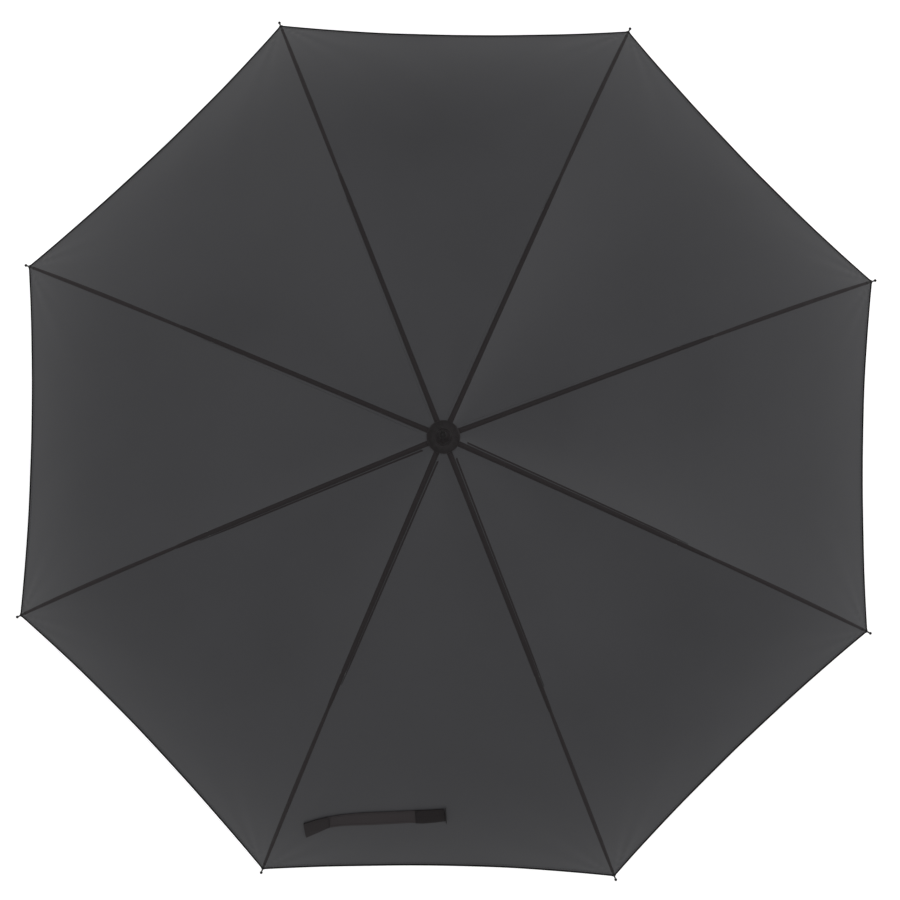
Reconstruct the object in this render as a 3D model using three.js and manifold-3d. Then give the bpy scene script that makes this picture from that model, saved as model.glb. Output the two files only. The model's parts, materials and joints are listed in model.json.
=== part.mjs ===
// A golf umbrella with eight panels, open. Millimetres, +Z up along the shaft, with the origin at the
// centre of the flat end of the handle.
import * as THREE from 'three';
import { mergeVertices } from 'three/addons/utils/BufferGeometryUtils.js';
import Module from 'manifold-3d';

const wasm = await Module();
wasm.setup();

// ---------------------------------------------------------------- driving dimensions
const PANELS = 8;
const STEP = (2 * Math.PI) / PANELS;
const HALF_STEP = STEP / 2;
const FIRST_RIB = THREE.MathUtils.degToRad(-112.5); // azimuth of rib 1, left of the panel with the strap
const CLEARANCE = 0.3; // between pieces that touch or slide
const CUT = 1; // how far a cutting tool runs past the face that it cuts

const SHAFT_RADIUS = 7;
const SHAFT_WALL = 0.8;
const SHAFT_BOTTOM = 8;
const SHAFT_TOP = 952;

// hinge wires, the common hinge pins of the ribs and of the stretchers
const WIRE_RING = 11; // radius of the ring
const WIRE = 0.55; // radius of the wire
const WIRE_HOLE = 0.9;
const TAB_HALF = 2.2; // half the height of the flattened end on the wire

// the ribs: a steel channel on a slight curve, then a fibreglass rod on a tighter one
const CROWN_Z = 930; // height of the rib hinges
const HUB_SLOPE = THREE.MathUtils.degToRad(14);
const CHANNEL_SLOPE = THREE.MathUtils.degToRad(23.3); // slope at the channel's outer end
const TIP_SLOPE = THREE.MathUtils.degToRad(50);
const CHANNEL_LENGTH = 408;
const CORNER_RADIUS = 650; // from the axis to the corners of the fabric
const CHANNEL = { width: 5, half: 2.5, web: 0.6, wall: 0.5, tab: 1.5, tabEnd: 14, hollow: 22, steps: 6 };
const ROD_RADIUS = 1.6;
const ROD_STUB = 4; // length of rod inside the channel's end
const ROD_END_GAP = 2; // from the rod's end to the corner of the fabric
const ROD_STEPS = 9;
const TIP = { wall: 0.8, cup: 14, stem: 1.2, ball: 2.1 };

// the stretchers: as long as the distance from the crown to the joint on the rib
const LINK = 351;
const STRETCHER = { width: 7.2, inside: 5.8, web: 0.6, top: 3.6, bottom: 2.8, cheek: 3, flat: 1.6, end: 298 };
const WEB_START = 14; // the web stays clear of the rib
const RIVET = 1;

// the fabric
const FABRIC = 1;
const FABRIC_LIFT = 1.9; // from the top of a rib to the inside of the fabric
const FABRIC_HOLE = 8;
const HUB_RISE = 1.6; // how much higher the fabric stands at the hub, over the crown
const HUB_RISE_LENGTH = 60;
const GORE_DIP = 15; // how far the middle of a panel lies inside the straight line between its ribs
const HEM_DIP = 7;
const HEM_CUT = 0.012; // how much shorter the panel is at its middle
const RADIAL_STEPS = 14;
const ACROSS_STEPS = 6;

const CROWN = { radius: 15.5, core: 8.5, below: 5, above: 1.6, boss: 25, slot: 2.1 };
const RUNNER = { radius: 15.5, core: 8.6, below: 3.6, above: 2.2, sleeve: 9.5, length: 48, slot: 2.2 };
const KEYWAY = { width: 2.4, radius: 9.9 }; // the slot in the runner that the catches pass through
const GROOVE = 0.8; // clearance each side of the ring in its groove

// the sprung catches: shoulder is the height of the face that holds the runner
const CATCH = { thickness: 1.6, nose: 9.6, length: 32, noseLength: 22, bearing: 1.3, eye: 2.6, inset: 0.6 };
const BOTTOM_CATCH_SHOULDER = 216;
const PIN = 1; // radius of the cross pins

// the handle and the hub
const GRIP = { radius: 16, bottom: 10, top: 168, waist: 14.6, neck: 13.5, flare: 20 };
const COLLAR = { radius: 14, straight: 3, height: 9, lip: 2 };
const END_PLUG = 18; // how far the end cap reaches into the shaft
const TOP_CAP = { radius: 22.5, gap: 0.8, crown: 2.8, shoulder: 0.75, brow: 0.52 };
const FERRULE = { base: 11.5, foot: 2, neck: 9, waist: 8.6, shoulder: 6, nose: 5.2, top: 992, socket: 10 };
const FERRULE_TIP = { radius: 5, peg: 2.3, pegLength: 8, height: 8 };

// the strap that ties the closed umbrella, in a panel's own u and v
const STRAP = { thickness: 1.6, from: 0.04, to: -0.86, u: 0.84, drop: 0.034, width: 0.034 };
const STRAP_PATCH = { thickness: 0.6, middle: 0.09, half: 0.08, share: 0.9 };

// ---------------------------------------------------------------- the curve of a rib
// Two arcs in the plane of a rib: [distance from the axis, height] at a length along the rib.
const CHANNEL_ARC = CHANNEL_LENGTH / (CHANNEL_SLOPE - HUB_SLOPE);
const JOINT_LENGTH = 2 * CHANNEL_ARC * Math.asin(LINK / 2 / CHANNEL_ARC);
const CHANNEL_END = arcPoint(WIRE_RING, CROWN_Z, CHANNEL_ARC, HUB_SLOPE, CHANNEL_SLOPE);
const ROD_ARC = (CORNER_RADIUS - CHANNEL_END[0]) / (Math.sin(TIP_SLOPE) - Math.sin(CHANNEL_SLOPE));
const ROD_LENGTH = ROD_ARC * (TIP_SLOPE - CHANNEL_SLOPE);
const RIB_LENGTH = CHANNEL_LENGTH + ROD_LENGTH;

function arcPoint(r, z, arc, from, to) {
  return [r + arc * (Math.sin(to) - Math.sin(from)), z - arc * (Math.cos(from) - Math.cos(to))];
}

function ribSlope(length) {
  if (length < CHANNEL_LENGTH) return HUB_SLOPE + length / CHANNEL_ARC;
  return CHANNEL_SLOPE + (length - CHANNEL_LENGTH) / ROD_ARC;
}

// offset is measured square to the rib, outwards and up
function ribPoint(length, offset = 0) {
  const slope = ribSlope(length);
  const [r, z] =
    length < CHANNEL_LENGTH
      ? arcPoint(WIRE_RING, CROWN_Z, CHANNEL_ARC, HUB_SLOPE, slope)
      : arcPoint(...CHANNEL_END, ROD_ARC, CHANNEL_SLOPE, slope);
  return [r + offset * Math.sin(slope), z + offset * Math.cos(slope)];
}

const JOINT = ribPoint(JOINT_LENGTH);
const RUNNER_Z = 2 * JOINT[1] - CROWN_Z; // both links are equally long, so the joint is half way
const CROWN_PIN_Z = CROWN_Z - 16;
const STOP_PIN_Z = RUNNER_Z + RUNNER.above + 2.4;
const TOP_CATCH_SHOULDER = RUNNER_Z - RUNNER.length - 0.6;
const BORE = SHAFT_RADIUS + CLEARANCE; // of every piece that the shaft passes through

// ---------------------------------------------------------------- solids
function solid(geometry) {
  const bare = geometry.clone();
  bare.deleteAttribute('normal');
  bare.deleteAttribute('uv');
  const merged = mergeVertices(bare, 1e-4);
  return new wasm.Manifold(
    new wasm.Mesh({
      numProp: 3,
      vertProperties: new Float32Array(merged.attributes.position.array),
      triVerts: new Uint32Array(merged.index.array),
    }),
  );
}

function geometryOf(manifold) {
  const mesh = manifold.getMesh();
  const geometry = new THREE.BufferGeometry();
  geometry.setAttribute('position', new THREE.BufferAttribute(new Float32Array(mesh.vertProperties), 3));
  geometry.setIndex(new THREE.BufferAttribute(new Uint32Array(mesh.triVerts), 1));
  return geometry;
}

// A plate in the plane of a rib, from an outline of [distance from the axis, height], centred on the plane
function plate(outline, width) {
  const shape = new THREE.Shape(outline.map(([r, z]) => new THREE.Vector2(r, z)));
  const geometry = new THREE.ExtrudeGeometry(shape, { depth: width, bevelEnabled: false, steps: 1 });
  geometry.translate(0, 0, -width / 2);
  geometry.rotateX(Math.PI / 2);
  return solid(geometry);
}

// A round bar square to the plane of a rib
function crossBar(r, z, radius, length, sides = 10) {
  const geometry = new THREE.CylinderGeometry(radius, radius, length, sides);
  geometry.translate(r, 0, z);
  return solid(geometry);
}

// A solid of revolution about the shaft, from a closed outline of [radius, height]
function turned(outline, sides = 24) {
  const points = [...outline, outline[0]].map(([r, z]) => new THREE.Vector2(r, z));
  const geometry = new THREE.LatheGeometry(points, sides);
  geometry.rotateX(Math.PI / 2);
  return solid(geometry);
}

function tube(outer, inner, bottom, top, sides = 24) {
  return turned([[inner, bottom], [outer, bottom], [outer, top], [inner, top]], sides);
}

function box(width, depth, bottom, top, x = 0, y = 0) {
  const geometry = new THREE.BoxGeometry(width, depth, top - bottom);
  geometry.translate(x, y, (bottom + top) / 2);
  return solid(geometry);
}

// An outline that follows the rib between two lengths, from one offset to another
function ribBand(from, to, low, high, steps) {
  const at = (i) => from + ((to - from) * i) / steps;
  const upper = Array.from({ length: steps + 1 }, (_, i) => ribPoint(at(i), high));
  const lower = Array.from({ length: steps + 1 }, (_, i) => ribPoint(at(steps - i), low));
  return [...upper, ...lower];
}

// Half a circle of points about a centre, starting square to a direction
function roundEnd([r, z], radius, start, steps = 4) {
  return Array.from({ length: steps + 1 }, (_, i) => {
    const angle = start + (Math.PI * i) / steps;
    return [r + radius * Math.cos(angle), z + radius * Math.sin(angle)];
  });
}

// ---------------------------------------------------------------- materials
function finish(color, roughness, metalness) {
  return new THREE.MeshStandardMaterial({ color, roughness, metalness });
}

const MATERIALS = {
  fabric: finish(0x404042, 0.8, 0),
  strap: finish(0x38383a, 0.85, 0),
  blackSteel: finish(0x1b1a1b, 0.4, 0.8),
  brightSteel: finish(0xa9abad, 0.3, 1),
  fibreglass: finish(0x17171a, 0.35, 0),
  blackPlastic: finish(0x1c1b1c, 0.5, 0),
  foam: finish(0x232325, 0.95, 0),
};

const umbrella = new THREE.Group();

function add(name, shape, material, parent = umbrella) {
  const mesh = new THREE.Mesh(shape.getMesh ? geometryOf(shape) : shape, material);
  mesh.name = name;
  parent.add(mesh);
  return mesh;
}

// ---------------------------------------------------------------- ribs
function ribChannel() {
  const { width, half, web, wall, tab, tabEnd, hollow, steps } = CHANNEL;
  const body = plate(ribBand(tabEnd, CHANNEL_LENGTH, -half, half, steps), width);
  const inside = ribBand(hollow, CHANNEL_LENGTH + CUT, -half - CUT, half - web, steps);
  const flatEnd = roundEnd([WIRE_RING, CROWN_Z], TAB_HALF, Math.PI / 2 - HUB_SLOPE);
  const tabOutline = [...flatEnd, ...ribBand(tabEnd + 4, tabEnd + 5, TAB_HALF, -TAB_HALF, 1).slice(1, 3)];
  return body
    .subtract(plate(inside, width - 2 * wall))
    .add(plate(tabOutline, tab))
    .subtract(crossBar(WIRE_RING, CROWN_Z, WIRE_HOLE, width))
    .subtract(crossBar(...JOINT, RIVET + CLEARANCE, width + CUT));
}

function ribRod() {
  const start = CHANNEL_LENGTH - ROD_STUB;
  const end = RIB_LENGTH - ROD_END_GAP;
  const points = Array.from({ length: ROD_STEPS + 1 }, (_, i) => {
    const [r, z] = ribPoint(start + ((end - start) * i) / ROD_STEPS);
    return new THREE.Vector3(r, 0, z);
  });
  const circle = new THREE.EllipseCurve(0, 0, ROD_RADIUS, ROD_RADIUS).getPoints(8);
  const round = new THREE.Shape(circle.slice(0, 8));
  const path = new THREE.CatmullRomCurve3(points);
  return new THREE.ExtrudeGeometry(round, { steps: ROD_STEPS, extrudePath: path, bevelEnabled: false });
}

// The cup on the end of a rod, with its stem and ball. Its own Z runs along the rod, from the fabric's
// corner.
function ribTip() {
  const { wall, cup, stem, ball } = TIP;
  const bore = ROD_RADIUS + 2 * CLEARANCE;
  const bottom = CUT / 2 - ROD_END_GAP;
  const outline = [
    [bore, -cup], [bore + wall, -cup], [bore + wall, -2], [stem + 0.1, 4], [stem, 11],
    [ball, 12.4], [ball, 14.4], [0, 15.8], [0, bottom], [bore, bottom],
  ];
  const geometry = new THREE.LatheGeometry(
    [...outline, outline[0]].map(([r, z]) => new THREE.Vector2(r, z)),
    8,
  );
  geometry.rotateX(Math.PI / 2);
  return solid(geometry);
}

// ---------------------------------------------------------------- stretchers
// Points are given along the stretcher from its rivet, and square to it towards the rib.
const STRETCHER_ANGLE = Math.atan2(JOINT[1] - RUNNER_Z, JOINT[0] - WIRE_RING);

function stretcherPoint(along, up) {
  const c = Math.cos(STRETCHER_ANGLE);
  const s = Math.sin(STRETCHER_ANGLE);
  return [JOINT[0] - along * c - up * s, JOINT[1] - along * s + up * c];
}

function stretcher() {
  const { width, inside, web, top, bottom, cheek, flat, end } = STRETCHER;
  const nose = roundEnd([0, 0], cheek, Math.PI / 2).map(([along, up]) => stretcherPoint(along, up));
  const outline = [
    ...nose,
    stretcherPoint(WEB_START - 4, -bottom),
    stretcherPoint(end, -bottom),
    stretcherPoint(end, top),
    stretcherPoint(WEB_START + 2, top),
    stretcherPoint(WEB_START - 3, cheek - 0.2),
  ];
  const hollow = [[-10, -9], [end - 4, -9], [end - 4, top - web], [-10, top - web]];
  const runnerEnd = stretcherPoint(LINK, 0);
  const flatEnd = roundEnd(runnerEnd, TAB_HALF, Math.PI / 2 + STRETCHER_ANGLE);
  const tongue = [...flatEnd, stretcherPoint(end - 2, -TAB_HALF), stretcherPoint(end - 2, TAB_HALF)];
  return plate(outline, width)
    .subtract(plate(hollow.map(([along, up]) => stretcherPoint(along, up)), inside))
    .add(plate(tongue, flat))
    .add(crossBar(...JOINT, RIVET, width))
    .subtract(crossBar(...runnerEnd, WIRE_HOLE, width));
}

// ---------------------------------------------------------------- fabric
// A point of a panel whose middle lies along +X: u runs from the hub to the hem, v across from rib to rib.
function panelPoint(u, v, lift) {
  const hollow = 1 - v * v;
  const start = (FABRIC_HOLE - WIRE_RING) / Math.cos(HUB_SLOPE);
  const length = start + (RIB_LENGTH - start) * u * (1 - HEM_CUT * hollow * u);
  const rise = HUB_RISE * Math.max(0, 1 - length / HUB_RISE_LENGTH) ** 2;
  const dip = hollow * (GORE_DIP * Math.sin(Math.PI * Math.min(u, 1)) ** 0.8 + HEM_DIP * u * u * u);
  const offset = CHANNEL.half + FABRIC_LIFT + rise + lift - dip;
  const [r, z] = ribPoint(length, offset);
  return [r * Math.cos(HALF_STEP), (r * Math.sin(HALF_STEP) - CLEARANCE / 2) * v, z];
}

// A slab bent over part of a panel: place gives u, v and the height above the panel's inside
function bentSlab(stepsU, stepsV, place) {
  const geometry = new THREE.BoxGeometry(1, 1, 1, stepsU, stepsV, 1);
  const position = geometry.attributes.position;
  for (let i = 0; i < position.count; i++) {
    const [u, v, lift] = place(position.getX(i) + 0.5, position.getY(i) * 2, position.getZ(i) + 0.5);
    position.setXYZ(i, ...panelPoint(u, v, lift));
  }
  return solid(geometry);
}

const canopyPanel = () => bentSlab(RADIAL_STEPS, ACROSS_STEPS, (a, b, c) => [a, b, c * FABRIC]);

// The strap lies across the left half of its panel, on a patch near the seam.
function strap() {
  const { from, to, u, drop, width, thickness } = STRAP;
  const low = FABRIC + 2 * CLEARANCE + 1;
  return bentSlab(1, 10, (a, b, c) => {
    const share = (1 - b) / 2;
    const middle = u + drop * share * share;
    return [middle + (a - 0.5) * width, from + (to - from) * share, low + c * thickness];
  });
}

function strapPatch() {
  const { to, u, drop, width } = STRAP;
  const { thickness, middle, half, share } = STRAP_PATCH;
  const low = FABRIC + 2 * CLEARANCE;
  return bentSlab(1, 2, (a, b, c) => {
    return [u + drop * share + (a - 0.5) * width * share, to + middle + b * half, low + c * thickness];
  });
}

// ---------------------------------------------------------------- crown and runner
function ringOfSlots(width, inner, outer, bottom, top) {
  const slots = Array.from({ length: PANELS }, (_, i) => {
    const slot = box(outer - inner, width, bottom, top, (inner + outer) / 2, 0);
    return slot.rotate([0, 0, THREE.MathUtils.radToDeg(FIRST_RIB + i * STEP)]);
  });
  return slots.reduce((all, one) => all.add(one));
}

function groove(bottom, top) {
  return tube(WIRE_RING + GROOVE, WIRE_RING - GROOVE + 0.1, bottom, top, 32);
}

function crown() {
  const { radius, core, below, above, boss, slot } = CROWN;
  const bottom = CROWN_Z - below;
  const top = CROWN_Z + above;
  const outline = [
    [BORE, CROWN_Z - boss], [core, CROWN_Z - boss], [core, bottom],
    [radius - 1, bottom], [radius, bottom + 1], [radius, top - 1], [radius - 1, top], [BORE, top],
  ];
  return turned(outline, 32)
    .subtract(ringOfSlots(slot, core, radius + CUT, bottom - CUT, top + CUT))
    .subtract(groove(bottom - CUT, CROWN_Z + WIRE + CLEARANCE))
    .subtract(crossBar(0, CROWN_PIN_Z, PIN + CLEARANCE, 2 * radius));
}

function runner() {
  const { radius, core, below, above, sleeve, length, slot } = RUNNER;
  const bottom = RUNNER_Z - length;
  const neck = RUNNER_Z - below;
  const top = RUNNER_Z + above;
  const outline = [
    [BORE, bottom], [sleeve + 1.6, bottom], [sleeve + 2.2, bottom + 1.5], [sleeve + 1.6, bottom + 4],
    [sleeve, bottom + 9], [sleeve, neck - 3], [radius - 1, neck], [radius, neck + 1],
    [radius, top - 1], [radius - 1, top], [BORE, top],
  ];
  const key = box(KEYWAY.width, KEYWAY.radius, bottom - CUT, top + CUT, 0, -KEYWAY.radius / 2);
  const window = box(KEYWAY.width, 2 * radius, bottom - CUT, neck - 4, 0, -radius);
  return turned(outline, 32)
    .subtract(ringOfSlots(slot, core, radius + CUT, RUNNER_Z - TAB_HALF - CLEARANCE, top + CUT))
    .subtract(groove(RUNNER_Z - WIRE - CLEARANCE, top + CUT))
    .subtract(key)
    .subtract(window);
}

function wireRing(height) {
  const geometry = new THREE.TorusGeometry(WIRE_RING, WIRE, 6, 24);
  geometry.rotateZ(FIRST_RIB);
  geometry.translate(0, 0, height);
  return solid(geometry);
}

// ---------------------------------------------------------------- shaft, pins and catches
// The catches lie in the plane of the strap's panel, turned so that their noses point to -Y.
const catchPivot = (shoulder) => shoulder - CATCH.length;

function shaft() {
  const window = (shoulder) => {
    const bottom = shoulder - CATCH.noseLength - 3;
    return box(CATCH.thickness + 2 * CLEARANCE, SHAFT_RADIUS + CUT, bottom, shoulder + 1, 0, -SHAFT_RADIUS);
  };
  const inner = SHAFT_RADIUS - SHAFT_WALL;
  let result = tube(SHAFT_RADIUS, inner, SHAFT_BOTTOM, SHAFT_TOP);
  for (const shoulder of [TOP_CATCH_SHOULDER, BOTTOM_CATCH_SHOULDER]) {
    result = result.subtract(window(shoulder)).subtract(pinHole(catchPivot(shoulder)));
  }
  return result
    .subtract(pinHole(STOP_PIN_Z))
    .subtract(crossBar(0, CROWN_PIN_Z, PIN + CLEARANCE, 3 * SHAFT_RADIUS));
}

// A pin across the shaft along X, and the hole that it needs
function crossPin(z, length, radius = PIN) {
  return crossBar(0, z, radius, length).rotate([0, 0, 90]);
}

function pinHole(z) {
  return crossPin(z, 3 * SHAFT_RADIUS, PIN + CLEARANCE);
}

function catchLever(shoulder) {
  const { thickness, nose, length, noseLength, bearing, eye, inset } = CATCH;
  const inside = SHAFT_RADIUS - SHAFT_WALL - inset;
  const pivot = catchPivot(shoulder);
  const outline = [
    ...roundEnd([0, pivot], eye, Math.PI),
    [inside, shoulder - noseLength],
    [SHAFT_RADIUS, shoulder - noseLength],
    [nose, shoulder - 5],
    [nose, shoulder - inset],
    [nose - inset, shoulder],
    [inside, shoulder],
    [inside - 3, shoulder],
    [inside - 3, shoulder - noseLength],
    [-eye, pivot + length * 0.2],
  ];
  return plate(outline, thickness)
    .subtract(crossBar(0, pivot, bearing, thickness + CUT))
    .rotate([0, 0, -90]);
}

// ---------------------------------------------------------------- hub and handle
const FABRIC_TOP = panelPoint(0, 1, FABRIC)[2]; // the fabric's upper side at the hub
const CAP_LOW = FABRIC_TOP + TOP_CAP.gap;
const FERRULE_BASE = CAP_LOW + TOP_CAP.crown + CLEARANCE;

function topCap() {
  const { radius, crown: height, shoulder, brow } = TOP_CAP;
  const rim = CAP_LOW - radius * Math.tan(HUB_SLOPE) * 0.9;
  return turned([
    [BORE, CAP_LOW], [radius - 0.6, rim + 1], [radius, rim + 1.6], [radius - 0.5, rim + 2.4],
    [radius * shoulder, rim + 4.2], [radius * brow, CAP_LOW + 2.4], [BORE, CAP_LOW + height],
  ], 32);
}

function ferrule() {
  const { base, foot, neck, waist, shoulder, nose, top, socket } = FERRULE;
  const peg = FERRULE_TIP.peg + CLEARANCE;
  return turned([
    [BORE, FERRULE_BASE], [base, FERRULE_BASE], [base, FERRULE_BASE + foot], [neck, FERRULE_BASE + 2 * foot],
    [waist, FERRULE_BASE + 18], [shoulder, top - 8], [nose, top], [peg, top],
    [peg, top - socket], [0, top - socket], [0, SHAFT_TOP + 1], [BORE, SHAFT_TOP + 1],
  ]);
}

function ferruleTip() {
  const { radius, peg, pegLength, height } = FERRULE_TIP;
  const top = FERRULE.top;
  return turned([
    [0, top - pegLength], [peg, top - pegLength], [peg, top + CLEARANCE], [radius, top + CLEARANCE],
    [radius, top + height / 2], [radius - 1, top + height - 1], [peg, top + height], [0, top + height],
  ]);
}

function grip() {
  const { radius, bottom, top, waist, neck, flare } = GRIP;
  return turned([
    [BORE, bottom], [radius - 1, bottom], [radius, bottom + 4], [waist, (bottom + top) / 2],
    [radius - 1, top - flare], [neck, top], [BORE, top],
  ]);
}

function endCap() {
  const { radius, bottom } = GRIP;
  const top = bottom - CLEARANCE;
  const floor = SHAFT_BOTTOM - CLEARANCE;
  const plug = SHAFT_RADIUS - SHAFT_WALL - CLEARANCE;
  return turned([
    [0, 0], [radius - 2, 0], [radius, 2], [radius, top - 1], [radius - 1, top],
    [BORE, top], [BORE, floor], [plug, floor], [plug, SHAFT_BOTTOM + END_PLUG], [0, SHAFT_BOTTOM + END_PLUG],
  ]);
}

function gripCollar() {
  const { radius, straight, height, lip } = COLLAR;
  const bottom = GRIP.top + CLEARANCE;
  return turned([
    [BORE, bottom], [radius, bottom], [radius, bottom + straight], [SHAFT_RADIUS + lip, bottom + height],
    [BORE, bottom + height],
  ]);
}

// ---------------------------------------------------------------- assembly
add('shaft', shaft(), MATERIALS.blackSteel);
add('crown', crown(), MATERIALS.blackPlastic);
add('crown_wire', wireRing(CROWN_Z), MATERIALS.brightSteel);
add('crown_pin', crossBar(0, CROWN_PIN_Z, PIN, 2 * CROWN.core), MATERIALS.brightSteel);
add('runner', runner(), MATERIALS.blackPlastic);
add('runner_wire', wireRing(RUNNER_Z), MATERIALS.brightSteel);
add('runner_stop_pin', crossPin(STOP_PIN_Z, 2 * SHAFT_RADIUS + 4), MATERIALS.brightSteel);
add('top_catch', catchLever(TOP_CATCH_SHOULDER), MATERIALS.brightSteel);
add('top_catch_pin', crossPin(catchPivot(TOP_CATCH_SHOULDER), 2 * SHAFT_RADIUS), MATERIALS.brightSteel);
add('bottom_catch', catchLever(BOTTOM_CATCH_SHOULDER), MATERIALS.brightSteel);
add('bottom_catch_pin', crossPin(catchPivot(BOTTOM_CATCH_SHOULDER), 2 * SHAFT_RADIUS), MATERIALS.brightSteel);
add('top_cap', topCap(), MATERIALS.blackPlastic);
add('ferrule', ferrule(), MATERIALS.blackPlastic);
add('ferrule_tip', ferruleTip(), MATERIALS.blackPlastic);
add('grip', grip(), MATERIALS.foam);
add('end_cap', endCap(), MATERIALS.blackPlastic);
add('grip_collar', gripCollar(), MATERIALS.blackPlastic);

const [tipR, tipZ] = ribPoint(RIB_LENGTH);
for (let i = 0; i < PANELS; i++) {
  const arm = new THREE.Group();
  arm.rotation.z = FIRST_RIB + i * STEP;
  umbrella.add(arm);
  add(`rib_${i + 1}`, ribChannel(), MATERIALS.blackSteel, arm);
  add(`rib_rod_${i + 1}`, ribRod(), MATERIALS.fibreglass, arm);
  add(`stretcher_${i + 1}`, stretcher(), MATERIALS.blackSteel, arm);
  const tip = add(`rib_tip_${i + 1}`, ribTip(), MATERIALS.blackPlastic, arm);
  tip.position.set(tipR, 0, tipZ);
  tip.rotation.y = Math.PI / 2 + TIP_SLOPE;

  const gore = new THREE.Group();
  gore.rotation.z = FIRST_RIB + (i + 0.5) * STEP;
  umbrella.add(gore);
  add(`canopy_panel_${i + 1}`, canopyPanel(), MATERIALS.fabric, gore);
  if (i === 0) {
    add('tie_strap', strap(), MATERIALS.strap, gore);
    add('strap_patch', strapPatch(), MATERIALS.strap, gore);
  }
}

export default umbrella;
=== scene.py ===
import json
import math

import bmesh
import bpy
import numpy as np
from mathutils import Matrix, Vector


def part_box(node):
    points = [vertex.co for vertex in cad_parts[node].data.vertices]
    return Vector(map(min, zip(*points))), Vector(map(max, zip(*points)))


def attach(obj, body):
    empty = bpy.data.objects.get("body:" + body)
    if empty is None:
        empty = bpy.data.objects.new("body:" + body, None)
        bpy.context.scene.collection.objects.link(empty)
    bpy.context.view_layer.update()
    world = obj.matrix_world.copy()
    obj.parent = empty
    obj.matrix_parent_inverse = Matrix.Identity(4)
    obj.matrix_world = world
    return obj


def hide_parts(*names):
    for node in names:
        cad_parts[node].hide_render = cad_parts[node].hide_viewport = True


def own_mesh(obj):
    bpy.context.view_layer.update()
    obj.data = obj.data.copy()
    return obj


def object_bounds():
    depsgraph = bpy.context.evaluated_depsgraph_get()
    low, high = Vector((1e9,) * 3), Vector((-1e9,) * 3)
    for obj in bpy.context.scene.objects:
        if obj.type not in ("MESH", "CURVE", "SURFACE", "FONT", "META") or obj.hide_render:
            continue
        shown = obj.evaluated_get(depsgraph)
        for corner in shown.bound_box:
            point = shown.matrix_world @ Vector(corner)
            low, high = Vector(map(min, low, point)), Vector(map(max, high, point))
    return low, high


# A golf umbrella with eight panels, open. Metres, +Z up along the shaft.
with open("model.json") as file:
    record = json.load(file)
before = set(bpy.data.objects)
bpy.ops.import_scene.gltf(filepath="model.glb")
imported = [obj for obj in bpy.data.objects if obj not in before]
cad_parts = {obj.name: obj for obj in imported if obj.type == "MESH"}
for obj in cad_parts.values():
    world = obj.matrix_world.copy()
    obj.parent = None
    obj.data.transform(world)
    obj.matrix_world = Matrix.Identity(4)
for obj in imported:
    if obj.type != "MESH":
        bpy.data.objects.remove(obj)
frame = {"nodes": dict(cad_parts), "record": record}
cad_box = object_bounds()
scene = bpy.context.scene

# -------------------- the frame's own dimensions
PANELS = 8
STEP = 2 * math.pi / PANELS
HALF = STEP / 2
FIRST_RIB = math.radians(-112.5)
WIRE_RING = 0.011
CROWN_Z = 0.930
HUB_SLOPE = math.radians(14)
CHANNEL_SLOPE = math.radians(23.3)
TIP_SLOPE = math.radians(50)
CHANNEL_LENGTH = 0.408
CHANNEL_HALF = 0.0025
CORNER_RADIUS = 0.650
ROD_RADIUS = 0.0016
ROD_STUB = 0.004  # how far the rod reaches into the channel
ROD_END_GAP = 0.002

# -------------------- the fabric's own dimensions
CLOTH = 0.00035  # thickness
FABRIC_HOLE = 0.008
HUB_RISE = 0.0042
HUB_RISE_LENGTH = 0.060
GORE_DIP = 0.015
HEM_DIP = 0.007
HEM_CUT = 0.012
OVER_CHANNEL = 0.0007  # from the steel to the upper side of the fabric
OVER_ROD = 0.0008
# the length over which the fabric comes down from channel to rod, beside the rib and at a panel's middle
STEP_AT_RIB, STEP_AT_MIDDLE = 0.012, 0.300

# -------------------- the curve of a rib
CHANNEL_ARC = CHANNEL_LENGTH / (CHANNEL_SLOPE - HUB_SLOPE)
CHANNEL_END_R = WIRE_RING + CHANNEL_ARC * (math.sin(CHANNEL_SLOPE) - math.sin(HUB_SLOPE))
CHANNEL_END_Z = CROWN_Z - CHANNEL_ARC * (math.cos(HUB_SLOPE) - math.cos(CHANNEL_SLOPE))
ROD_ARC = (CORNER_RADIUS - CHANNEL_END_R) / (math.sin(TIP_SLOPE) - math.sin(CHANNEL_SLOPE))
ROD_LENGTH = ROD_ARC * (TIP_SLOPE - CHANNEL_SLOPE)
RIB_LENGTH = CHANNEL_LENGTH + ROD_LENGTH
FABRIC_START = (FABRIC_HOLE - WIRE_RING) / math.cos(HUB_SLOPE)
FABRIC_LENGTH = RIB_LENGTH - FABRIC_START


def smoothstep(x):
    x = np.clip(x, 0, 1)
    return x * x * (3 - 2 * x)


def rib_slope(length):
    inner = HUB_SLOPE + length / CHANNEL_ARC
    outer = CHANNEL_SLOPE + (length - CHANNEL_LENGTH) / ROD_ARC
    return np.where(length < CHANNEL_LENGTH, inner, outer)


def rib_point(length, offset=0.0):
    """Distance from the axis, and height, at a length along a rib and an offset square to it."""
    slope = rib_slope(length)
    inner = length < CHANNEL_LENGTH
    r_in = WIRE_RING + CHANNEL_ARC * (np.sin(slope) - math.sin(HUB_SLOPE))
    z_in = CROWN_Z - CHANNEL_ARC * (math.cos(HUB_SLOPE) - np.cos(slope))
    r_out = CHANNEL_END_R + ROD_ARC * (np.sin(slope) - math.sin(CHANNEL_SLOPE))
    z_out = CHANNEL_END_Z - ROD_ARC * (math.cos(CHANNEL_SLOPE) - np.cos(slope))
    r = np.where(inner, r_in, r_out) + offset * np.sin(slope)
    z = np.where(inner, z_in, z_out) + offset * np.cos(slope)
    return r, z


def azimuth(rib):
    return FIRST_RIB + rib * STEP


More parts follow.
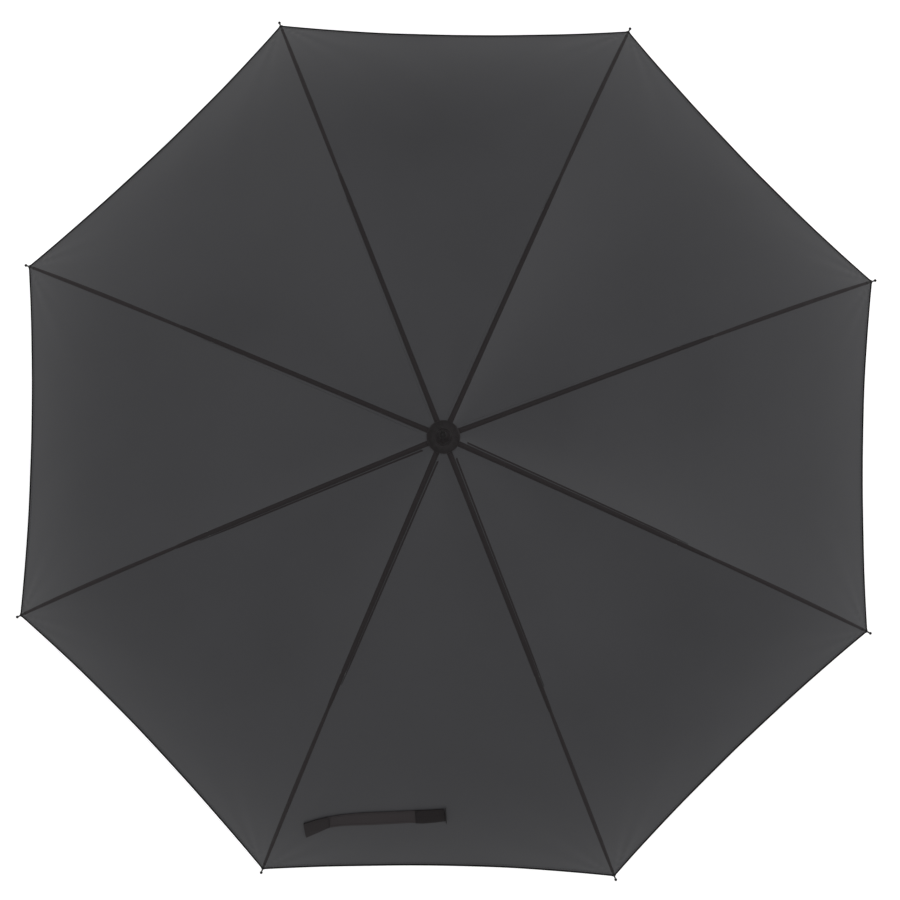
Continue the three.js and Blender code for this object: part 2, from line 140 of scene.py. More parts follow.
def rib_axes(rib):
    """Outwards and across, for a rib numbered from 0."""
    a = azimuth(rib)
    return Vector((math.cos(a), math.sin(a), 0)), Vector((-math.sin(a), math.cos(a), 0))


def rib_station(rib, length, offset=0.0):
    """A point over a rib, and the directions across, square to and along the rib there."""
    outwards, across = (np.array(v) for v in rib_axes(rib))
    slope = float(rib_slope(np.array(length)))
    up = outwards * math.sin(slope) + np.array((0, 0, math.cos(slope)))
    along = outwards * math.cos(slope) - np.array((0, 0, math.sin(slope)))
    r, z = rib_point(np.array(length), offset)
    return outwards * r + np.array((0, 0, z)), across, up, along


# -------------------- the fabric's surface
def wrinkles(panel, u, v):
    """Height of the slight slack and of the creases at the hem's corners. v runs from -1 to 1."""
    phase = 1.7 * panel
    free = 1 - v * v
    slack = 0.0011 * np.sin(5.1 * u + phase) * np.sin(2.3 * v + 0.8 * phase) * u
    folds = 0.00022 * np.sin(34 * (u - 0.3 * np.abs(v)) + phase) * np.sin(3.1 * v + phase) * u * u
    height = free * (slack + folds)
    for corner in (-1, 1):
        along = (1 - u) * FABRIC_LENGTH
        across = (1 - corner * v) * CORNER_RADIUS * math.sin(HALF) * u
        distance = np.hypot(along, across)
        angle = np.arctan2(across, along + 1e-9)
        fade = np.exp(-((distance / 0.12) ** 2)) * smoothstep(distance / 0.03)
        height = height + 0.00022 * fade * np.sin(2 * angle) * np.cos(11 * angle + phase)
    return height


def fabric(rib, u, t, lift=0.0):
    """Points beside a rib: u from the hub to the hem, t from the rib (0) to a panel's middle (1 or -1)."""
    side = np.where(t < 0, -1.0, 1.0)
    v = 1 - np.abs(t)
    panel = rib + np.where(t < 0, -1, 0)
    hollow = 1 - v * v
    length = FABRIC_START + FABRIC_LENGTH * u * (1 - HEM_CUT * hollow * u)
    rise = HUB_RISE * np.maximum(0, 1 - length / HUB_RISE_LENGTH) ** 2
    dip = hollow * (GORE_DIP * np.sin(math.pi * np.clip(u, 0, 1)) ** 0.8 + HEM_DIP * u**3)
    step = smoothstep((length - CHANNEL_LENGTH) / (STEP_AT_RIB + STEP_AT_MIDDLE * hollow) + 0.5)
    base = (CHANNEL_HALF + OVER_CHANNEL) * (1 - step) + (ROD_RADIUS + OVER_ROD) * step
    offset = base + rise + lift - dip + wrinkles(np.mod(panel, PANELS), u, -side * v)
    r, z = rib_point(length, offset)
    x, y = r * math.cos(HALF), -side * r * math.sin(HALF) * v
    turn = azimuth(rib) + side * HALF
    return np.stack([x * np.cos(turn) - y * np.sin(turn), x * np.sin(turn) + y * np.cos(turn), z], -1)


def fabric_normal(rib, u, t):
    """Outward unit normals. The two sides of a rib keep their own."""
    e = 1e-4
    side = np.where(t < 0, -1.0, 1.0)
    inside = np.where(np.abs(t) < e, side * e, t)
    along = fabric(rib, u + e, inside) - fabric(rib, u - e, inside)
    across = fabric(rib, u, inside + 0.5 * e) - fabric(rib, u, inside - 0.5 * e)
    n = np.cross(along, across)
    return n / np.linalg.norm(n, axis=-1, keepdims=True)


def upward_normal(rib, u, t):
    n = fabric_normal(rib, u, t)
    return n * np.sign(n[..., 2:3])


def u_at(length):
    return (length - FABRIC_START) / FABRIC_LENGTH


def t_at(u, distance):
    """The t of a point at a signed distance across from its rib."""
    r, _ = rib_point(FABRIC_START + FABRIC_LENGTH * u)
    return distance / (r * math.sin(HALF) * math.cos(HALF))


JOINT_BETWEEN = (0.4, 0.9)  # the values of u that the joint lies between
HALVINGS = 30


def joint_u(t):
    """Where the fabric crosses the plane of the channel's end, square to the rib."""
    outwards, _ = rib_axes(0)
    low, high = (np.full(t.shape, u) for u in JOINT_BETWEEN)
    for _ in range(HALVINGS):
        middle = (low + high) / 2
        p = fabric(0, middle, t)
        out = p[..., 0] * outwards.x + p[..., 1] * outwards.y - CHANNEL_END_R
        down = CHANNEL_END_Z - p[..., 2]
        past = out * math.cos(CHANNEL_SLOPE) + down * math.sin(CHANNEL_SLOPE)
        low = np.where(past < 0, middle, low)
        high = np.where(past < 0, high, middle)
    return (low + high) / 2


# -------------------- meshes
SHARP_ANGLE = math.radians(50)  # edges that turn by more are sharp


class Shape:
    """Closed parts gathered into one mesh, each with its own material."""

    def __init__(self):
        self.points, self.faces, self.finishes, self.normals = [], [], [], []
        self.count = 0

    def add(self, points, faces, finish=0, normals=None):
        points = np.asarray(points, float).reshape(-1, 3)
        self.faces += [tuple(i + self.count for i in face) for face in faces]
        self.finishes += [finish] * len(faces)
        self.points.append(points)
        self.normals.append(normals)
        self.count += len(points)

    def shell(self, top, bottom, finish=0, normals=None):
        """Two grids of points joined round their edges."""
        rows, columns = top.shape[:2]
        size = rows * columns
        at = np.arange(size).reshape(rows, columns)
        quads = np.stack([at[:-1, :-1], at[1:, :-1], at[1:, 1:], at[:-1, 1:]], -1).reshape(-1, 4)
        rim = np.concatenate([at[0, :], at[1:, -1], at[-1, -2::-1], at[-2:0:-1, 0]])
        beyond = np.roll(rim, -1)
        walls = np.stack([rim, beyond, beyond + size, rim + size], -1)
        faces = [tuple(q) for q in np.concatenate([quads, quads[:, ::-1] + size, walls])]
        both = None if normals is None else np.concatenate([normals.reshape(-1, 3), -normals.reshape(-1, 3)])
        self.add(np.concatenate([top.reshape(-1, 3), bottom.reshape(-1, 3)]), faces, finish, both)

    def tube(self, rings, finish=0):
        """Rings of points, one after another, closed at both ends."""
        rings = np.asarray(rings, float)
        count, sides = rings.shape[:2]
        at = np.arange(count * sides).reshape(count, sides)
        beyond = np.roll(at, -1, axis=1)
        quads = np.stack([at[:-1], beyond[:-1], beyond[1:], at[1:]], -1).reshape(-1, 4)
        faces = [tuple(q) for q in quads] + [tuple(at[0, ::-1]), tuple(at[-1])]
        self.add(rings, faces, finish)

    def loop(self, rings, finish=0):
        """Rings of points that come round to the first again."""
        rings = np.asarray(rings, float)
        count, sides = rings.shape[:2]
        at = np.arange(count * sides).reshape(count, sides)
        right, ahead = np.roll(at, -1, axis=1), np.roll(at, -1, axis=0)
        quads = np.stack([at, right, np.roll(right, -1, axis=0), ahead], -1).reshape(-1, 4)
        self.add(rings, [tuple(q) for q in quads], finish)

    def build(self, name, materials):
        """The piece: an object with the gathered mesh."""
        mesh = bpy.data.meshes.new(name)
        mesh.from_pydata(np.concatenate(self.points).tolist(), [], self.faces)
        for m in materials:
            mesh.materials.append(m)
        mesh.polygons.foreach_set("material_index", self.finishes)
        mesh.polygons.foreach_set("use_smooth", [True] * len(mesh.polygons))
        mesh.update()
        outward(mesh)
        if all(n is None for n in self.normals):
            mesh.set_sharp_from_angle(angle=SHARP_ANGLE)
        else:
            mesh.normals_split_custom_set_from_vertices(np.concatenate(self.normals).tolist())
        piece = bpy.data.objects.new(name, mesh)
        scene.collection.objects.link(piece)
        return piece


def outward(mesh):
    """Turns a mesh whose faces point in the other way out."""
    b = bmesh.new()
    b.from_mesh(mesh)
    if b.calc_volume(signed=True) < 0:
        bmesh.ops.reverse_faces(b, faces=b.faces)
    b.to_mesh(mesh)
    b.free()


def full_turn(sides):
    return np.linspace(0, 2 * math.pi, sides, endpoint=False)


def section(centre, across, up, width, height, sides, power=1.0):
    """An ellipse of points about a centre. A power under 1 makes it squarer."""
    turn = full_turn(sides)
    c, s = np.cos(turn), np.sin(turn)
    c, s = np.sign(c) * np.abs(c) ** power, np.sign(s) * np.abs(s) ** power
    return np.asarray(centre) + width * c[:, None] * np.asarray(across) + height * s[:, None] * np.asarray(up)


def rounded(outline, radius, steps=4):
    """An open outline with each corner between its ends rounded."""
    points = [Vector(p) for p in outline]
    result = [points[0]]
    for before, corner, after in zip(points, points[1:], points[2:]):
        back, on = before - corner, after - corner
        reach = min(radius, 0.45 * back.length, 0.45 * on.length)
        start, end = corner + back.normalized() * reach, corner + on.normalized() * reach
        for i in range(steps + 1):
            s = i / steps
            result.append((1 - s) ** 2 * start + 2 * s * (1 - s) * corner + s * s * end)
    return result + [points[-1]]


def turned(shape, outline, finish=0, sides=96, place=None):
    """A solid of revolution about Z. The outline is [radius, height], and starts and ends on the axis."""
    rings = []
    turn = full_turn(sides)
    for r, z in outline:
        r = max(r, 1e-6)
        rings.append(np.stack([r * np.cos(turn), r * np.sin(turn), np.full(sides, z)], -1))
    rings = np.array(rings)
    if place is not None:
        m = np.array(place)
        rings = rings @ m[:3, :3].T + m[:3, 3]
    shape.tube(rings, finish)


def sleeve(shape, outline, finish=0, sides=96):
    """A ring of revolution about Z, from an outline of [radius, height] that closes on itself."""
    turn = full_turn(sides)
    r, z = np.array(outline, float).T
    rings = np.stack(
        [np.outer(np.cos(turn), r), np.outer(np.sin(turn), r), np.broadcast_to(z, (sides, len(z)))], -1
    )
    shape.loop(rings, finish)


# share of the stitch's length, then the ring's radius and height over the thread's radius
STITCH_RINGS = ((0, 0.3, -0.6), (0.25, 0.95, 0.3), (0.75, 0.95, 0.3), (1, 0.3, -0.6))


def stitches(shape, line, normals, stitch=0.0022, gap=0.0012, radius=0.00022, finish=1):
    """Short threads laid end to end along a line of points."""
    line = np.asarray(line)
    steps = np.linalg.norm(np.diff(line, axis=0), axis=1)
    reach = np.concatenate([[0], np.cumsum(steps)])
    count = int(reach[-1] / (stitch + gap))

    def sample(data, at):
        return np.array([np.interp(at, reach, data[:, i]) for i in range(3)])

    for i in range(count):
        start = (i + 0.2) * reach[-1] / count
        a, b, n = sample(line, start), sample(line, start + stitch), sample(normals, start)
        along = (b - a) / np.linalg.norm(b - a)
        across = np.cross(along, n)
        rings = [
            section(a + (b - a) * share + n * radius * high, across, n, radius * wide, radius * wide, 6)
            for share, wide, high in STITCH_RINGS
        ]
        shape.tube(rings, finish)


# -------------------- materials
class Finish:
    """A node material built round one Principled shader."""

    def __init__(self, name, roughness, metallic=0.0, **sockets):
        self.material = bpy.data.materials.new(name)
        self.material.use_nodes = True
        self.nodes = self.material.node_tree.nodes
        self.links = self.material.node_tree.links
        self.shader = self.nodes["Principled BSDF"]
        self.output = self.nodes["Material Output"]
        self.shader.inputs["Roughness"].default_value = roughness
        self.shader.inputs["Metallic"].default_value = metallic
        for socket, value in sockets.items():
            self.shader.inputs[socket.replace("_", " ")].default_value = value

    def node(self, kind, inputs=None, **settings):
        made = self.nodes.new(kind)
        for key, value in settings.items():
            setattr(made, key, value)
        for key, value in (inputs or {}).items():
            if isinstance(value, bpy.types.NodeSocket):
                self.links.new(value, made.inputs[key])
            else:
                made.inputs[key].default_value = value
        return made

    def place(self, kind="Object", scale=(1, 1, 1)):
        source = self.node("ShaderNodeTexCoord").outputs[kind]
        return self.node("ShaderNodeMapping", {"Vector": source, "Scale": scale}).outputs["Vector"]

    def noise(self, vector, scale, detail=3.0, rough=0.5):
        made = self.node(
            "ShaderNodeTexNoise", {"Vector": vector, "Scale": scale, "Detail": detail, "Roughness": rough}
        )
        return made.outputs[0]

    def wave(self, vector, scale, direction, distortion=0.0):
        made = self.node(
            "ShaderNodeTexWave",
            {"Vector": vector, "Scale": scale, "Distortion": distortion, "Detail": 0.0},
            bands_direction=direction,
        )
        return made.outputs["Fac"]

    def math(self, operation, a, b):
        return self.node("ShaderNodeMath", {0: a, 1: b}, operation=operation).outputs[0]

    def blend(self, a, a_share, b, b_share):
        return self.math("ADD", self.math("MULTIPLY", a, a_share), self.math("MULTIPLY", b, b_share))

    def colour(self, mask, dark, light, low=0.3, high=0.7):
        ramp = self.node("ShaderNodeValToRGB", {"Fac": mask})
        ramp.color_ramp.elements[0].position, ramp.color_ramp.elements[1].position = low, high
        ramp.color_ramp.elements[0].color = (*dark, 1)
        ramp.color_ramp.elements[1].color = (*light, 1)
        self.links.new(ramp.outputs["Color"], self.shader.inputs["Base Color"])
        return ramp

    def rough(self, mask, low, high):
        spread = self.node(
            "ShaderNodeMapRange",
            {"Value": mask, "From Min": 0.3, "From Max": 0.7, "To Min": low, "To Max": high},
        )
        self.links.new(spread.outputs["Result"], self.shader.inputs["Roughness"])

    def bump(self, height, strength, distance):
        made = self.node("ShaderNodeBump", {"Height": height, "Strength": strength, "Distance": distance})
        self.links.new(made.outputs["Normal"], self.shader.inputs["Normal"])
        return made.outputs["Normal"]


def tone(value, tint=(1.0, 1.0, 1.0)):
    """A linear colour from an sRGB value of 0 to 255."""
    s = value / 255
    linear = s / 12.92 if s <= 0.04045 else ((s + 0.055) / 1.055) ** 2.4
    return tuple(linear * c for c in tint)


# the tints of the fabric, and of the thread, tape, webbing and plastic
COOL = (1.0, 1.0, 1.085)
WARM = (1.12, 0.94, 0.99)


def fabric_finish(name, value):
    f = Finish(name, 0.5, Sheen_Weight=0.03, Sheen_Roughness=0.5, Specular_IOR_Level=0.25)
    weave = f.place("UV")
    warp = f.wave(weave, 420.0, "X")
    weft = f.wave(weave, 420.0, "Y")
    threads = f.math("MULTIPLY", warp, weft)
    cloud = f.noise(f.place("Object"), 5.0, 4.0, 0.55)
    slubs = f.noise(f.place("UV", (40, 900, 1)), 1.0, 2.0)
    mask = f.blend(cloud, 0.75, slubs, 0.25)
    f.colour(mask, tone(value - 2.5, COOL), tone(value + 2.5, COOL))
    f.rough(cloud, 0.44, 0.54)
    height = f.blend(threads, 0.6, slubs, 0.4)
    normal = f.bump(height, 0.18, 0.00015)
    through = f.node("ShaderNodeBsdfTranslucent", {"Color": (*tone(value + 30, COOL), 1), "Normal": normal})
    mix = f.node("ShaderNodeMixShader", {0: 0.06, 1: f.shader.outputs[0], 2: through.outputs[0]})
    f.links.new(mix.outputs[0], f.output.inputs["Surface"])
    return f.material


def tape_finish(name, value, level=0.15):
    f = Finish(name, 0.8, Specular_IOR_Level=level)
    twill = f.wave(f.place("UV"), 260.0, "DIAGONAL", 0.4)
    cloud = f.noise(f.place("Object"), 60.0)
    mask = f.blend(twill, 0.5, cloud, 0.5)
    f.colour(mask, tone(value - 3, WARM), tone(value + 3, WARM))
    f.rough(cloud, 0.68, 0.82)
    f.bump(twill, 0.3, 0.0002)
    return f.material


def thread_finish():
    f = Finish("polyester_thread", 0.65, Specular_IOR_Level=0.2)
    twist = f.wave(f.place("Object"), 900.0, "DIAGONAL", 1.0)
    f.colour(twist, tone(18, WARM), tone(30, WARM))
    f.bump(twist, 0.3, 0.0001)
    return f.material


def webbing_finish(name, value):
    f = Finish(name, 0.85, Specular_IOR_Level=0.2)
    ribs = f.wave(f.place("UV"), 210.0, "Y")
    picks = f.wave(f.place("UV"), 520.0, "X", 0.3)
    cloud = f.noise(f.place("Object"), 45.0)
    mask = f.blend(ribs, 0.45, cloud, 0.55)
    f.colour(mask, tone(value - 6, WARM), tone(value + 5, WARM))
    f.rough(cloud, 0.72, 0.88)
    f.bump(f.math("ADD", ribs, f.math("MULTIPLY", picks, 0.4)), 0.5, 0.0003)
    return f.material


def hook_finish():
    f = Finish("hook_and_loop", 0.9, Specular_IOR_Level=0.15)
    rows = f.math("MULTIPLY", f.wave(f.place("UV"), 260.0, "X"), f.wave(f.place("UV"), 260.0, "Y"))
    fluff = f.noise(f.place("Object"), 900.0, 3.0, 0.7)
    mask = f.blend(rows, 0.5, fluff, 0.5)
    f.colour(mask, tone(27, WARM), tone(41, WARM))
    f.bump(f.math("ADD", rows, fluff), 0.7, 0.0005)
    return f.material


def steel_finish():
    f = Finish("painted_steel", 0.38, 0.0, Specular_IOR_Level=0.5, Coat_Weight=0.3, Coat_Roughness=0.25)
    place = f.place("Object")
    orange_peel = f.noise(place, 700.0, 2.0)
    wear = f.noise(place, 38.0, 6.0, 0.65)
    f.colour(wear, tone(25), tone(36), 0.35, 0.75)
    f.rough(wear, 0.3, 0.46)
    f.bump(orange_peel, 0.12, 0.0001)
    return f.material


def bright_finish():
    f = Finish("zinc_plated_steel", 0.3, 1.0)
    grain = f.noise(f.place("Object", (1, 1, 0.05)), 1500.0, 3.0)
    f.colour(grain, tone(160), tone(196))
    f.rough(grain, 0.22, 0.4)
    f.bump(grain, 0.1, 0.00005)
    return f.material


def fibreglass_finish():
    f = Finish("fibreglass", 0.32, 0.0, Coat_Weight=0.2)
    strands = f.noise(f.place("UV", (1, 0.02, 1)), 900.0, 3.0)
    f.colour(strands, tone(22), tone(38))
    f.rough(strands, 0.26, 0.42)
    f.bump(strands, 0.2, 0.0001)
    return f.material


def plastic_finish(name, value, roughness, peel):
    f = Finish(name, roughness, 0.0, Specular_IOR_Level=0.13)
    place = f.place("Object")
    grain = f.noise(place, peel, 2.0)
    scuffs = f.noise(place, 120.0, 5.0, 0.7)
    f.colour(scuffs, tone(value - 4, WARM), tone(value + 5, WARM), 0.35, 0.75)
    f.rough(scuffs, roughness - 0.07, roughness + 0.08)
    f.bump(grain, 0.25, 0.00012)
    return f.material


def foam_finish():
    f = Finish("eva_foam", 0.9, Sheen_Weight=0.1)
    place = f.place("Object")
    cells = f.node("ShaderNodeTexVoronoi", {"Vector": place, "Scale": 1100.0}).outputs["Distance"]
    cloud = f.noise(place, 90.0, 4.0)
    mask = f.blend(cells, 0.5, cloud, 0.5)
    f.colour(mask, tone(28), tone(46))
    f.rough(cloud, 0.82, 0.95)
    f.bump(cells, 0.5, 0.0003)
    return f.material


fabric_cloth = fabric_finish("pongee_fabric", 56)
# a darker copy of the fabric, used only as painted shade on the seam allowance beside some ribs
fell_shade_cloth = fabric_finish("pongee_fabric_painted_shade", 46)
# the tapes' dark tones are partly the seams' own colour and partly painted shadow of the rib under the
# fabric; the tape over the steel channel is the darker
seam_tape_and_shadow = tape_finish("seam_tape_and_shadow", 33)
rod_tape_and_shadow = tape_finish("seam_tape_and_shadow_over_rods", 36)
# near black: the binding's own colour, with painted shadow along the canopy's edge
edge_binding_and_shadow = tape_finish("hem_binding_and_edge_shadow", 8, level=0.08)
thread = thread_finish()
webbing = webbing_finish("strap_webbing", 43)
webbing_dark = webbing_finish("strap_webbing_doubled", 33)
hooks = hook_finish()
painted_steel = steel_finish()
bright_steel = bright_finish()
fibreglass = fibreglass_finish()
hub_plastic = plastic_finish("moulded_plastic", 27, 0.38, 900.0)
tip_plastic = plastic_finish("tip_plastic", 14, 0.34, 1500.0)
foam = foam_finish()

SLOT_FINISH = {
    "black_steel": painted_steel,
    "bright_steel": bright_steel,
    "fibreglass": fibreglass,
    "black_plastic": hub_plastic,
    "foam": foam,
    "canopy_fabric": fabric_cloth,
    "strap_fabric": webbing,
}


EDGE_BEVEL = 0.00018
BEVEL_ANGLE = math.radians(40)


def dress_frame():
    """Gives each CAD node that stays its finish, and a fine bevel on its edges."""
    for row in frame["record"]["subparts"]:
        node, slot = frame["nodes"][row["node"]], row["material_slot"]
        for place in node.material_slots:
            place.material = SLOT_FINISH[slot]
        if slot in ("canopy_fabric", "strap_fabric"):
            continue
        bevel = node.modifiers.new("edges", "BEVEL")
        bevel.width = EDGE_BEVEL
        bevel.segments = 2
        bevel.limit_method = "ANGLE"
        bevel.angle_limit = BEVEL_ANGLE


# -------------------- which rib or rod the fabric rides on
# Amounts for drawing each half of a panel in towards its own rib, along a direction across the rib and tilted
# outwards, so that the slack stands out from the closed ribs as flutes and the halves meet. Only the body
# each part rides on is read here.
FOLD = {
    "inner": {"keep": 0.095, "tilt": -0.36, "lift": 0.006, "body": "rib_{}"},
    "outer": {"keep": 0.080, "tilt": -0.36, "lift": 0.010, "body": "rod_{}"},
}


def body_name(rib, part):
    return FOLD[part]["body"].format(rib + 1)


def gather(piece, rib, part):
    """Makes a piece of fabric ride on its rib or rod, with a mesh of its own."""
    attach(piece, body_name(rib, part))
    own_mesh(piece)


# -------------------- canopy
ROWS = {"inner": 70, "outer": 56}
COLUMNS = 24
COLUMN_GRADE = 1.4  # over 1, the columns lie closer together beside the rib
FACING_REACH, FACING_BACK = 0.0135, 0.0020  # past the joint at a panel's middle, and before it
LINING = 0.00008  # thickness
UNDER_CLOTH = CLOTH + 0.00002  # from the upper side of the fabric to the lining


def panel_name(rib, side):
    """The number of the panel on one side of a rib, and which half of it lies there."""
    panel = rib if side > 0 else (rib - 1) % PANELS
    return panel + 1, "left" if side > 0 else "right"


def half_gore(rib, side, part):
    """Half a panel, beside its rib: from the hub to the rod's joint, or from there to the hem."""
    t = np.linspace(0, 1, COLUMNS + 1)[None, :] ** COLUMN_GRADE
    a = np.linspace(0, 1, ROWS[part] + 1)[:, None]
    edge = joint_u(t)
    u = a * edge if part == "inner" else edge + (1 - edge) * a
    t = np.broadcast_to(t, u.shape)
    signed = np.where(t == 0, side * 1e-9, side * t)
    normals = upward_normal(rib, u, signed)
    top = fabric(rib, u, signed)
    shape = Shape()
    shape.shell(top, top - normals * CLOTH, 0, normals)
    if part == "inner":
        facing(shape, rib, signed[:1], edge)
    number, half = panel_name(rib, side)
    piece = shape.build(f"canopy_{number}_{half}_{part}", [fabric_cloth])
    unwrap(piece, azimuth(rib))
    gather(piece, rib, part)
    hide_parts(f"canopy_panel_{number}")


def facing(shape, rib, t, edge):
    """A second layer under the outer fabric, which covers the joint when the rod bends outwards."""
    reach = FACING_REACH * np.abs(t) + FACING_BACK
    share = np.linspace(0, 1, 9)[:, None]
    u = edge + (share * (reach + FACING_BACK) - FACING_BACK) / FABRIC_LENGTH
    t = np.broadcast_to(t, u.shape)
    normals = upward_normal(rib, u, t)
    top = fabric(rib, u, t) - normals * UNDER_CLOTH
    shape.shell(top, top - normals * LINING, 0, normals)


def unwrap(piece, turn):
    """A UV map in metres: across and along a direction from the shaft."""
    mesh = piece.data
    layer = mesh.uv_layers.new(name="UVMap")
    corners = np.empty(len(mesh.loops), np.int32)
    mesh.loops.foreach_get("vertex_index", corners)
    co = np.empty(len(mesh.vertices) * 3)
    mesh.vertices.foreach_get("co", co)
    co = co.reshape(-1, 3)
    across = -co[:, 0] * math.sin(turn) + co[:, 1] * math.cos(turn)
    out = co[:, 0] * math.cos(turn) + co[:, 1] * math.sin(turn)
    along = np.hypot(out, 1.2 * (CROWN_Z - co[:, 2]))
    uv = np.stack([across[corners], along[corners]], -1)
    layer.data.foreach_set("uv", uv.astype(np.float32).ravel())


# -------------------- seams over the ribs
SEAM = {
    # lengths along the rib, and half the width of the tape there
    "inner": ([0.0102, 0.06, 0.2, 0.36, 0.408], [0.0036, 0.0034, 0.0032, 0.0031, 0.0026]),
    "outer": ([0.408, 0.45, 0.55, 0.66, 0.722], [0.0022, 0.0026, 0.0030, 0.0026, 0.0018]),
}
TAPE_HEIGHT = 0.0006
SEAM_LINE = 0.0006  # from the tape's edge to the line of stitches
SEAM_FINISH = {
    "inner": [seam_tape_and_shadow, thread, fabric_cloth, fell_shade_cloth],
    "outer": [rod_tape_and_shadow, thread],
}
FELL_FROM, FELL_TO = 0.024, 0.37
FELL_DISTANCE = (0.0060, 0.0044)  # from the rib, at both ends of the line
FELL_HALF, FELL_HEIGHT = 0.0011, 0.00035
SHADED_FELL_RIBS = (7, 0, 1, 2)  # ribs whose edge is painted dark as its shadow line, with painted shade between it and the rib
LINING_FROM, LINING_TO = 0.002, 0.26
# half its width: a share of the distance from the axis, up to a width that grows along the rib
LINING_SHARE, LINING_HALF, LINING_GROWTH = 0.336, 0.0080, 0.020


def strip_u(length, across):
    """The values of u at lengths along a rib, with a column for each step across."""
    return np.repeat(u_at(length)[:, None], len(across), 1)


def ribbon(shape, rib, u, distance, height, sink, finish):
    """A strip that lies on the fabric: u and the distance across are grids, height its crowned top."""
    t = t_at(u, distance)
    shape.shell(fabric(rib, u, t, height), fabric(rib, u, t, -sink), finish)


def seam(rib, part):
    """The tape over a rib or rod, with a line of stitches along each edge. Its dark tone is partly its own
    colour and partly painted shadow of the channel under the inner tape and of the rod under the outer tape.
    """
    lengths, halves = SEAM[part]
    length = np.linspace(lengths[0], lengths[-1], 90)
    half = np.interp(length, lengths, halves)
    across = np.linspace(-1, 1, 9)
    u = strip_u(length, across)
    crown = TAPE_HEIGHT * (1 - np.abs(across) ** 3) + 0.0001
    shape = Shape()
    ribbon(shape, rib, u, half[:, None] * across, crown, CLOTH, 0)
    for side in (-1, 1):
        t = t_at(u[:, 0], side * (half - SEAM_LINE))
        line = fabric(rib, u[:, 0], t, TAPE_HEIGHT * 0.55)
        stitches(shape, line, fabric_normal(rib, u[:, 0], t))
    if part == "inner":
        fell(shape, rib)
        lining(shape, rib)
    piece = shape.build(f"seam_{rib + 1}_{part}", SEAM_FINISH[part])
    unwrap(piece, azimuth(rib))
    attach(piece, body_name(rib, part))


def fell(shape, rib):
    """The turned edge of the seam allowance, which lies to one side of the rib. On the shaded ribs its edge
    is painted dark as a shadow line, and the allowance between it and the rib is painted darker as shade.
    """
    length = np.linspace(FELL_FROM, FELL_TO, 70)
    middle = np.interp(length, [FELL_FROM, FELL_TO], FELL_DISTANCE)
    across = np.linspace(-1, 1, 5)
    u = strip_u(length, across)
    half = np.minimum(FELL_HALF, 0.0002 + 0.02 * (FELL_TO - length))[:, None]
    height = FELL_HEIGHT * (1 - across**2) + 0.0001
    # painted shade: on some ribs the edge takes the dark tape's colour as a painted shadow line, and a darker
    # strip of fabric paints the shade between it and the rib
    dark = rib in SHADED_FELL_RIBS
    ribbon(shape, rib, u, middle[:, None] + half * across, height, CLOTH, 0 if dark else 2)
    if dark:
        share = np.linspace(0, 1, 5)
        ribbon(shape, rib, u, middle[:, None] * share, 0.00008, CLOTH, 3)


def lining(shape, rib):
    """A strip of fabric under the seam, as wide as the gap between the closed ribs."""
    length = np.linspace(LINING_FROM, LINING_TO, 60)
    r, _ = rib_point(length)
    half = np.minimum(LINING_SHARE * r, LINING_HALF + LINING_GROWTH * length)
    across = np.linspace(-1, 1, 12)
    u = strip_u(length, across)
    t = t_at(u, half[:, None] * across)
    top = fabric(rib, u, t, -UNDER_CLOTH)
    shape.shell(top, fabric(rib, u, t, -UNDER_CLOTH - LINING), 2)


# -------------------- hem and corners
HEM_WIDTH, HEM_HEIGHT, HEM_PROUD = 0.0020, 0.0008, 0.0012
HEM_LINE = 0.0058  # from the edge to the line of stitches
HEM_STITCH = (0.0026, 0.0016, 0.0002)  # length, gap and the thread's radius


def hem(rib, side):
    """The bound edge of half a panel, with its line of stitches. The binding's near-black tone is partly its
    own colour and partly painted shadow along the canopy's edge.
    """
    t = side * np.linspace(0.004, 1, 60)
    turn = full_turn(12)[None, :]
    u = 1 + (HEM_WIDTH * (np.cos(turn) - 1) + HEM_PROUD) / FABRIC_LENGTH + 0 * t[:, None]
    lift = HEM_HEIGHT * np.sin(turn) - CLOTH / 2 + 0 * t[:, None]
    shape = Shape()
    shape.tube(fabric(rib, u, t[:, None] + 0 * u, lift))
    line_u = np.full(t.shape, 1 - HEM_LINE / FABRIC_LENGTH)
    stitches(shape, fabric(rib, line_u, t, 0.00005), fabric_normal(rib, line_u, t), *HEM_STITCH)
    number, half = panel_name(rib, side)
    piece = shape.build(f"hem_{number}_{half}", [edge_binding_and_shadow, thread])
    unwrap(piece, azimuth(rib))
    gather(piece, rib, "outer")


POCKET_LENGTH = 0.016
# share of the pocket's length, then half its width and height
POCKET_RINGS = (
    (0, 0.0030, 0.0008), (0.3, 0.0032, 0.0012), (0.65, 0.0032, 0.0017), (0.9, 0.0029, 0.0022),
    (1, 0.0025, 0.0020),
)
POCKET_TURNS = 4


def tip_pocket(rib):
    """The folded corner of the fabric that the tip is sewn to, with its turns of thread."""
    shape = Shape()
    rings = []
    for share, wide, high in POCKET_RINGS:
        length = RIB_LENGTH - POCKET_LENGTH + POCKET_LENGTH * share
        centre, across, up, _ = rib_station(rib, length, 0.0012)
        rings.append(section(centre, across, up, wide, high, 16, 0.8))
    shape.tube(rings)
    for i in range(POCKET_TURNS):
        centre, across, up, along = rib_station(rib, RIB_LENGTH - 0.0045 + 0.0011 * i, 0.001)
        thread_ring(shape, centre, across, up, along, 0.0030, 0.0027, 0.0004, 1)
    piece = shape.build(f"tip_pocket_{rib + 1}", [fabric_cloth, thread])
    unwrap(piece, azimuth(rib))
    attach(piece, f"rod_{rib + 1}")


def thread_ring(shape, centre, across, up, along, width, height, radius, finish):
    """One turn of thread about a centre."""
    rings = []
    for angle in full_turn(20):
        out = across * math.cos(angle) * width + up * math.sin(angle) * height
        rings.append(section(centre + out, out / np.linalg.norm(out), along, radius, radius, 6))
    shape.loop(rings, finish)


